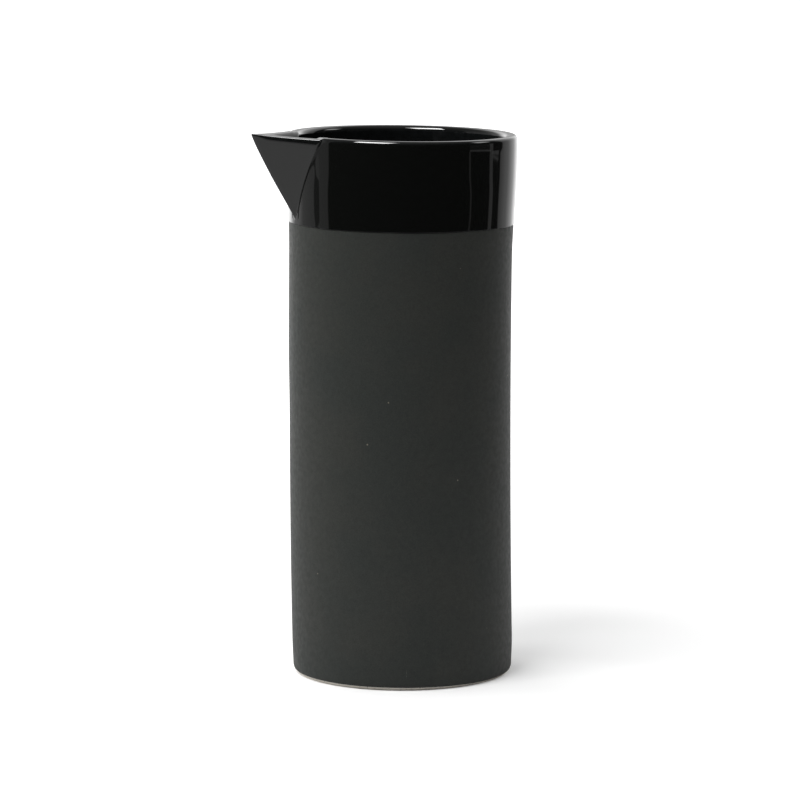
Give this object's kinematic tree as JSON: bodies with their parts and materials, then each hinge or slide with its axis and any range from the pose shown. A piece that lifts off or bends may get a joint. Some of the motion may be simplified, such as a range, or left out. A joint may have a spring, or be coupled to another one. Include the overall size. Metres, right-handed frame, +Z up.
{
  "type": "ceramic water jug",
  "caption": "Tall straight-sided ceramic water jug with a sharp folded pouring spout, a matte body, a glossy band at the rim and a glossy lining.",
  "frame": {"origin": "centre of the flat underside, on the axis of the cylindrical body", "axes": "+Z up along the body's axis; the spout points along -X; the jug is the same on both sides of the plane y = 0"},
  "size_m": [0.1148, 0.0956, 0.233],
  "materials": {
    "clay": "bare fired stoneware, sanded flat underneath",
    "matte_coat": "matte black coat with a fine speckle",
    "gloss_glaze": "glossy black glaze"
  },
  "bodies": {
    "root": {"base_disc": "clay", "body_wall": "clay", "spout": "clay", "matte_coat": "matte_coat", "rim_glaze": "gloss_glaze", "spout_glaze": "gloss_glaze", "inner_glaze": "gloss_glaze"}
  },
  "joints": []
}
